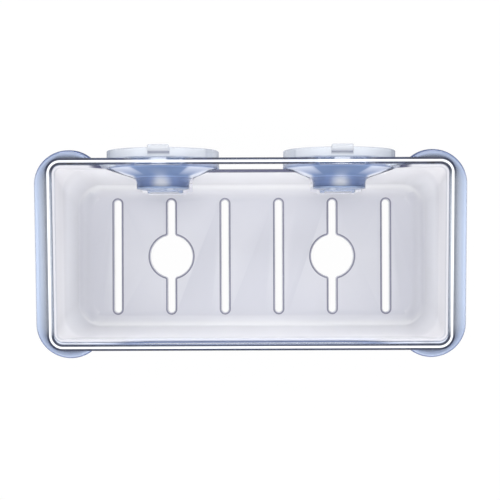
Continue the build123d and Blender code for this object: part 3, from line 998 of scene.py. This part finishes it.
def cup_layers(place, centre, sign, finish):
    """Layers of one cup housing: a pale flange with a painted dark line round it, a navy hub with
    painted shade, and a painted highlight over the stem.
    """
    y = place[:, 1] - RING_Y
    aside = np.abs(place[:, 0] - sign * CUP_X)
    radius = np.hypot(aside, place[:, 2] - CUP_Z)
    on_cup = on_bell(centre) & (sign * place[:, 0] > 0)
    on_hub = on_cup * (1 - rise(aside, 16.5 * MM, 19.5 * MM))
    deep_shade = rise(y, HUB_ROOT - 0.5 * MM, HUB_ROOT + 2.0 * MM)
    from_stem = np.hypot(aside / 1.25, y - (HUB_ROOT - 4.2 * MM))
    crest = on_cup * (radius > 30 * MM) * band(y, FLANGE_FRONT + 0.6 * MM, 1.3 * MM)
    return [
        (finish.flange, on_cup),
        # Painted shade: the navy hub, partly the thick plastic's cast, and darker still above it
        (finish.hub, on_hub),
        (finish.hub_deep_shade, on_hub * deep_shade),
        # Painted highlight: a pale spot on the hub over the white stem, light bent through the clear hub
        (PAINTED_HUB_HIGHLIGHT, on_hub * (1 - rise(from_stem, 1 * MM, 7 * MM))),
        # Painted shade: a dark line at the hub's end
        (finish.clear_edge_shade, on_hub * band(y, HUB_END, 0.9 * MM) * 0.7),
        # Painted shade: a dark line round the flange's crest
        (finish.hub, crest * 0.9),
    ]


def rail_layers(x, level_y, up, rail, upward, finish):
    """Layers of the rail and the crest inside its front bar.

    Painted dark lines, standing in for light the edges bend, run along the rail's two upper edges. They
    are weaker over the hubs and at the ends, where the inner one is the weakest.
    """
    from_middle = np.abs(rail + RAIL_MIDDLE)
    on_rail = (up > -RAIL_BAR - 0.05 * MM) & (from_middle < RAIL_MIDDLE + 0.1 * MM)
    at_end = rise(np.abs(x), 112 * MM, 124 * MM) * (1 - rise(np.abs(level_y), 46 * MM, 54 * MM))
    over_hub = (level_y > 0) * (1 - rise(np.abs(np.abs(x) - CUP_X), 15 * MM, 19 * MM))
    strength = (1 - 0.75 * over_hub) * (1 - at_end * np.where(rail < -1.8 * MM, 0.60, 0.15))
    lines = rise(from_middle, 0.46 * MM, 0.84 * MM)
    crest = on_front_crest(level_y, up, rail) & (upward > 0.2)
    return [
        (finish.clear, on_rail),
        # Painted shade: dark lines along the rail's upper edges
        (finish.clear_edge_shade, on_rail * lines * strength * (upward > -0.3)),
        # Painted shade: a dark blue band on the clear wall's crest inside the front rail, fading towards
        # the ends
        (FRONT_CREST_SHADE, crest * (1 - 0.8 * rise(np.abs(x), 70 * MM, 112 * MM))),
    ]


def tint_basket(mesh, finish):
    """Lays the basket's cast: thick lips and hubs bluer, with painted shade on the hubs and painted
    highlights and dark edges on the rail and lips.
    """
    place, centre, normal = corner_places(mesh)
    x, level_y, up, lip, rail = read_outlines(place)
    near_cup = np.abs(np.abs(x) - CUP_X) < 24 * MM
    layers = lip_layers(level_y, up, lip, finish)
    layers.append((BEHIND_NOTCH, near_cup & (place[:, 2] < CUP_Z) & (place[:, 1] - RING_Y > 30 * MM)))
    for sign in SIDES.values():
        layers += cup_layers(place, centre, sign, finish)
    layers += rail_layers(x, level_y, up, rail, normal[:, 2], finish)
    lay_cast_and_painted_light(mesh, finish.clear, layers)


def set_slots(mesh):
    """Gives each face of the basket its material: the plain moulding, unless it lies elsewhere.

    The lips' material also serves the back wall where its edge comes down beside the cups. The rail's
    crest has the glint, a painted highlight, and the flanges' cones and the front wall's crest have the
    root's, a dull copy of the clear plastic that paints shade.
    """
    centre, normal = face_places(mesh)
    x, level_y, up, lip, rail = read_outlines(centre)
    y = centre[:, 1] - RING_Y
    aside = np.abs(x)
    bell = on_bell(centre)
    off_hub = np.hypot(aside - CUP_X, centre[:, 2] - CUP_Z) > 18 * MM
    cone = bell & off_hub & (y > HUB_ROOT) & (y < FLANGE_FRONT + 0.4 * MM) & (normal[:, 1] < -0.3)
    below_rail = up < -RAIL_BAR + 0.3 * MM
    outside = rounded_distance(x, level_y, 127 * MM, 58 * MM, 7 * MM) > 0
    in_lip = below_rail & outside & (up > -12.5 * MM) & (lip > -20 * MM) & (lip < 0.5 * MM)
    coming_down = below_rail & (aside > 78 * MM) & (aside < 106 * MM) & (y > 45 * MM)
    rail_crest = (up > -0.1 * MM) & (np.abs(rail + RAIL_MIDDLE) < 0.82 * MM)
    front_crest = on_front_crest(level_y, up, rail) & (normal[:, 2] > 0.2)
    names = ("clear_root", "clear_housing", "clear_lip", "clear_glint")
    places = [cone | front_crest, bell, in_lip | coming_down, rail_crest]
    slots = np.select(places, [BASKET_MATERIALS.index(name) for name in names])
    mesh.polygons.foreach_set("material_index", slots.astype(np.int32))


class CADDY_OT_basket(bpy.types.Operator):
    """Builds the clear basket: rail, end lips, wall and cup housings in one moulding"""

    bl_idname = "caddy.basket"
    bl_label = "Build basket"

    def execute(self, context):
        sizes = context.scene.caddy_sizes
        shell = basket_wall("basket_moulding", sizes)
        combine(shell, [cup_room("room", -CUP_X)], "DIFFERENCE")
        lip = lip_shell("lip", sizes)
        combine(lip, [clear_inside("inside")], "DIFFERENCE")
        for part in (lip, rail_ring("rail", sizes), housing("housing", -CUP_X)):
            combine(shell, [part], "UNION")
        mirror_half(shell)
        tint_basket(shell.data, context.scene.caddy_finish)
        paint(shell, *BASKET_MATERIALS)
        set_slots(shell.data)
        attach(shell, "basket")
        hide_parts("basket")
        return {"FINISHED"}


def tint_tray(mesh, finish, columns, top):
    """Lays the tray's cast, painted light and shade on one milky colour: long walls paler than the
    floor, cut edges and dipped rims darker.
    """
    place, centre, normal = corner_places(mesh)
    x, y, z = place.T
    lift = z - FLOOR_TOP
    aside, from_middle = np.abs(x), np.abs(y - FLOOR_Y)
    facing = (normal[:, 1] / np.maximum(np.hypot(normal[:, 0], normal[:, 1]), 1e-6)) ** 2
    outward = normal[:, 0] * np.sign(x) + normal[:, 1] * np.sign(y)
    lit_long_wall = facing * rise(lift, 0.2 * MM, 4 * MM)
    lit_end_wall = (1 - facing) * rise(lift, 3 * MM, 9 * MM) * (1 - rise(lift, 40 * MM, 62 * MM))
    high_corner_shade = rise(lift, 15 * MM, 55 * MM) * rise(aside, 95 * MM, 122 * MM)
    end_bend_shade = band(aside, 110 * MM, 6 * MM) * (lift < 4 * MM) * (from_middle < 44 * MM)
    floor_side_shade = band(from_middle, 38.5 * MM, 5 * MM) * (lift < 0.3 * MM) * (aside < 105 * MM)
    layers = [
        # Painted light: the long walls paler than the floor
        (finish.milky_wall_lit, lit_long_wall),
        # Painted highlight: a bright band along the foot of the long walls
        (WALL_FOOT_HIGHLIGHT, lit_long_wall * band(lift, 5 * MM, 5 * MM) * 0.9),
        # Painted shade: the high corners at the ends darker
        (HIGH_CORNER_SHADE, high_corner_shade * 0.9),
        # Painted light: the end walls paler, so that they look as bright as the floor
        (END_WALL_LIT, lit_end_wall * 0.9),
        # Painted shade: darker bends at the ends, and darker floor along the long walls
        (finish.milky_shade, end_bend_shade * 0.3),
        (finish.milky_shade, floor_side_shade * 0.35),
        # Painted shade: the tray's outer faces darker, in the gap inside the clear wall
        (OUTSIDE_SHADE, rise(outward, 0.2, 0.6) * (lift > -2 * MM)),
        # Painted shade: the brim's top darker where it meets the rail
        (BRIM_SHADE, rise(z - (y - RING_Y) * sin(TILT), 72.6 * MM, 73.6 * MM) * 0.9),
    ]
    edge = wall_surface(top[None, :], columns, 0.0)[0]
    # Painted shade: dark lines of bent light below the dipped rims, strongest at the back
    for sign, tint, share in ((1, BACK_RIM_SHADE, 1.0), (-1, FRONT_RIM_SHADE, 0.35)):
        run = edge[columns[3] * sign > 0.9]
        run = run[np.argsort(run[:, 0])]
        edge_y, edge_z = (np.interp(x, run[:, 0], run[:, axis]) for axis in (1, 2))
        dipped = rise(PLANE_Z + (edge_y - RING_Y) * sin(TILT) - edge_z, 1.6 * MM, 3.5 * MM)
        near = (y * sign > 20 * MM) * rise(z, edge_z - 2.0 * MM, edge_z - 0.8 * MM)
        layers.append((tint, near * dipped * share))

    in_floor = (np.abs(centre[:, 0]) < 112 * MM) & (np.abs(centre[:, 1]) < 45 * MM)
    below_top = (centre[:, 2] > 3 * MM) & (centre[:, 2] < FLOOR_TOP - 0.01 * MM)
    flare = in_floor & below_top & (normal[:, 2] > 0.02)
    # Painted light on the drains: paler flares, and painted shade as a dark line along their upper edges
    layers.append((DRAIN_PAINTED_LIGHT, flare * 0.9))
    layers.append((finish.milky_edge_shade, flare * rise(lift, -0.7 * MM, -0.15 * MM) * 0.85))
    lay_cast_and_painted_light(mesh, finish.milky, layers)


class CADDY_OT_tray(bpy.types.Operator):
    """Builds the lift-out tray with its drain slots, round holes and notches for the cups"""

    bl_idname = "caddy.tray"
    bl_label = "Build tray"

    def execute(self, context):
        sizes = context.scene.caddy_sizes
        columns = perimeter(20, 122, 40)
        top = edge_heights(columns, TRAY_DIPS)
        floor, bend = FLOOR_TOP / MM, sizes.tray_bend / MM
        inner = -sizes.tray_wall
        rows = shell_rows(columns, top, 0.0, inner, TRAY_FOOT, floor, foot_round=3.0, bend=bend)
        tray = make_piece("tray_moulding", rows)
        cutters = [notch_cutter(side + "_notch", sign * CUP_X) for side, sign in SIDES.items()]
        for number in range(6):
            hole = number in (1, 4)
            cutters.append(drain_cutter("drain", (number - 2.5) * DRAIN_PITCH, hole, sizes))
        combine(tray, cutters, "DIFFERENCE")
        tint_tray(tray.data, context.scene.caddy_finish, columns, top)
        paint(tray, "tray_milky")
        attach(tray, "tray")
        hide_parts("tray")
        return {"FINISHED"}


def tint_pad(mesh, x, finish):
    """Lays the pad's cast: paler tab, with painted shade as a darker line at its foot, on the disc's
    sides and on its rear faces.
    """
    place, _, normal = corner_places(mesh)
    y = place[:, 1] - RING_Y
    aside = np.abs(place[:, 0] - x)
    inward = -np.sign(x) * (place[:, 0] - x)
    radius = np.hypot(aside, place[:, 2] - CUP_Z)
    rim = radius > 34 * MM
    on_tab = (place[:, 2] > CUP_Z + 37.0 * MM) & (aside < 7.2 * MM)
    shaded_rear_side = rise(normal[:, 1], 0.3, 0.8)
    facet_shade = rise(inward, 29.0 * MM, 29.6 * MM) + rise(-inward, 33.2 * MM, 33.8 * MM)
    seam_shade = band(inward, 29.3 * MM, 0.6 * MM) + band(-inward, 33.5 * MM, 0.6 * MM)
    shadow_under_tab = rim * band(y, SKIRT_REAR + 3.4 * MM, 1.1 * MM) * (aside < 7.6 * MM)
    layers = [
        # Painted shade: the disc's sides and a band by its rim darker
        (finish.soft_side_shade, rim * rise(aside, 34.6 * MM, 36.4 * MM)),
        (finish.soft_side_shade, rim * band(y, SKIRT_REAR + 0.6 * MM, 1.4 * MM) * 0.5),
        (PULL_TAB, on_tab),
        # Painted shade: the rear faces darker, with a darker ring
        (PAD_REAR_SHADE, shaded_rear_side * 0.8),
        (finish.soft_side_shade, shaded_rear_side * band(radius, 27.0 * MM, 2.6 * MM) * 0.6),
        # Painted shade: the disc's end facets darker
        (finish.soft_side_shade, rim * facet_shade * 0.35),
        # Painted shade: dark lines along the seam and under the tab
        (finish.soft_line_shade, rim * seam_shade * 0.4),
        (finish.soft_line_shade, shadow_under_tab * 0.9),
    ]
    lay_cast_and_painted_light(mesh, finish.soft, layers)


class CADDY_OT_suction_pads(bpy.types.Operator):
    """Builds the soft suction pads with their pull tabs"""

    bl_idname = "caddy.suction_pads"
    bl_label = "Build suction pads"

    def execute(self, context):
        for side, sign in SIDES.items():
            pad = suction_pad(side + "_pad", sign * CUP_X)
            combine(pad, [pull_tab(side + "_tab", sign * CUP_X)], "UNION")
            tint_pad(pad.data, sign * CUP_X, context.scene.caddy_finish)
            paint(pad, "pad_soft")
            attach(pad, side + "_cup")
            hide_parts(side + "_suction_pad")
        return {"FINISHED"}


class CADDY_OT_fittings(bpy.types.Operator):
    """Gives the stiff small parts of the cups their finish"""

    bl_idname = "caddy.fittings"
    bl_label = "Finish fittings"

    def execute(self, context):
        finishes = {
            "pressure_plate": ("fitting_white", "white_plastic"),
            "draw_stem": ("fitting_white", "white_plastic"),
            "thrust_washer": ("fitting_white", "white_plastic"),
            "lever_pin": ("pin_steel", "steel"),
            "lever": ("clear_lever", "clear_plastic"),
            "hub_cap": ("clear_cap", "clear_plastic"),
        }
        for side in SIDES:
            for node, (finish, material) in finishes.items():
                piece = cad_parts[side + "_" + node]
                paint(piece, finish)
        return {"FINISHED"}


class CADDY_PT_panel(bpy.types.Panel):
    """Lists the operators and sizes in the 3D view's sidebar"""

    bl_label = "Sink caddy"
    bl_idname = "CADDY_PT_panel"
    bl_space_type = "VIEW_3D"
    bl_region_type = "UI"
    bl_category = "Caddy"

    def draw(self, context):
        for operator in OPERATORS:
            self.layout.operator(operator.bl_idname)
        for group in (context.scene.caddy_sizes, context.scene.caddy_finish):
            for name in group.__annotations__:
                self.layout.prop(group, name)


OPERATORS = (CADDY_OT_stage, CADDY_OT_basket, CADDY_OT_tray, CADDY_OT_suction_pads, CADDY_OT_fittings)
CLASSES = (CaddySizes, CaddyFinish, *OPERATORS, CADDY_PT_panel)


def register():
    """Registers the classes and the settings."""
    for item in CLASSES:
        bpy.utils.register_class(item)
    bpy.types.Scene.caddy_sizes = bpy.props.PointerProperty(type=CaddySizes)
    bpy.types.Scene.caddy_finish = bpy.props.PointerProperty(type=CaddyFinish)


def unregister():
    """Removes the settings and the classes."""
    del bpy.types.Scene.caddy_finish
    del bpy.types.Scene.caddy_sizes
    for item in reversed(CLASSES):
        bpy.utils.unregister_class(item)


def main():
    """Builds everything."""
    register()
    bpy.ops.caddy.stage()
    bpy.ops.caddy.basket()
    bpy.ops.caddy.tray()
    bpy.ops.caddy.suction_pads()
    bpy.ops.caddy.fittings()


if __name__ == "__main__":
    main()
